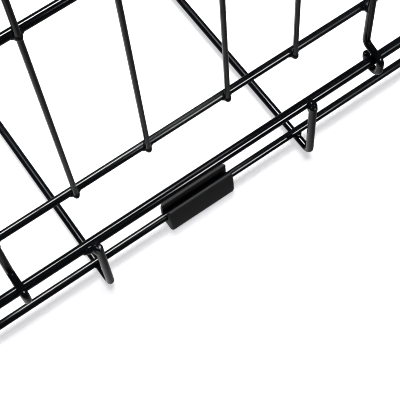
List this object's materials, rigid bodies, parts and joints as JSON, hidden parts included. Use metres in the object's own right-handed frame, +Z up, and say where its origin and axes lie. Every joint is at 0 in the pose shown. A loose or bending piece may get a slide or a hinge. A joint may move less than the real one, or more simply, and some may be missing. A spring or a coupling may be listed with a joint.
{
  "type": "folding luggage rack",
  "caption": "Folding welded-wire luggage rack: a low wire base on rubber clip feet, wire panels hooked to its rims that fold flat, and a lift-off wire deck.",
  "frame": {"origin": "on the floor, at the middle of the base", "axes": "+X along the length towards the end with the higher rim, +Y towards the back panel, +Z up; the front, at -Y, is open"},
  "size_m": [0.62, 0.4301, 0.5044],
  "materials": {
    "coated_wire": "gloss black coating on steel wire",
    "rubber": "matte charcoal rubber"
  },
  "bodies": {
    "base": {"floor_wire_1": "coated_wire", "floor_wire_2": "coated_wire", "floor_wire_3": "coated_wire", "floor_wire_4": "coated_wire", "cross_wire_1": "coated_wire", "cross_wire_2": "coated_wire", "lower_rail_left": "coated_wire", "lower_rail_right": "coated_wire", "lower_rail_front": "coated_wire", "lower_rail_back": "coated_wire", "rim_left": "coated_wire", "rim_right": "coated_wire", "rim_front": "coated_wire", "rim_back": "coated_wire", "corner_post_left_front": "coated_wire", "corner_post_left_back": "coated_wire", "corner_post_right_front": "coated_wire", "corner_post_right_back": "coated_wire", "foot_left": "rubber", "foot_right": "rubber", "foot_front_left": "rubber", "foot_back_left": "rubber", "foot_front_right": "rubber", "foot_back_right": "rubber"},
    "left_panel": {"left_grille": "coated_wire", "left_hook_front": "coated_wire", "left_hook_rear": "coated_wire"},
    "right_panel": {"right_grille": "coated_wire", "right_hook_front": "coated_wire", "right_hook_rear": "coated_wire"},
    "back_panel": {"back_grille": "coated_wire", "back_hook_1": "coated_wire", "back_hook_2": "coated_wire", "back_hook_3": "coated_wire", "back_hook_4": "coated_wire"},
    "deck": {"deck_grille": "coated_wire", "locator_left_front": "coated_wire", "locator_left_rear": "coated_wire", "locator_right_front": "coated_wire", "locator_right_rear": "coated_wire"},
    "back_stop": {"stop_bar": "coated_wire", "stop_sleeve": "rubber"},
    "handle": {"handle_bail": "coated_wire", "handle_grip": "rubber"}
  },
  "joints": [
    {"name": "left_panel_fold", "type": "hinge", "parent": "base", "child": "left_panel", "pos_m": [-0.3032, 0, 0.0474], "axis": [0, 1, 0], "range_deg": [0, 90]},
    {"name": "right_panel_fold", "type": "hinge", "parent": "base", "child": "right_panel", "pos_m": [0.3032, 0, 0.0599], "axis": [0, -1, 0], "range_deg": [0, 90]},
    {"name": "back_panel_fold", "type": "hinge", "parent": "base", "child": "back_panel", "pos_m": [0, 0.2082, 0.0724], "axis": [1, 0, 0], "range_deg": [0, 90]},
    {"name": "deck_lift", "type": "slide", "parent": "base", "child": "deck", "axis": [0, 0, 1], "range_m": [0, 0.15]},
    {"name": "back_stop_fold", "type": "hinge", "parent": "deck", "child": "back_stop", "pos_m": [0, 0.1976, 0.4494], "axis": [1, 0, 0], "range_deg": [0, 75]},
    {"name": "handle_swing", "type": "hinge", "parent": "base", "child": "handle", "pos_m": [0, -0.2082, 0.0474], "axis": [-1, 0, 0], "range_deg": [0, 150]}
  ]
}
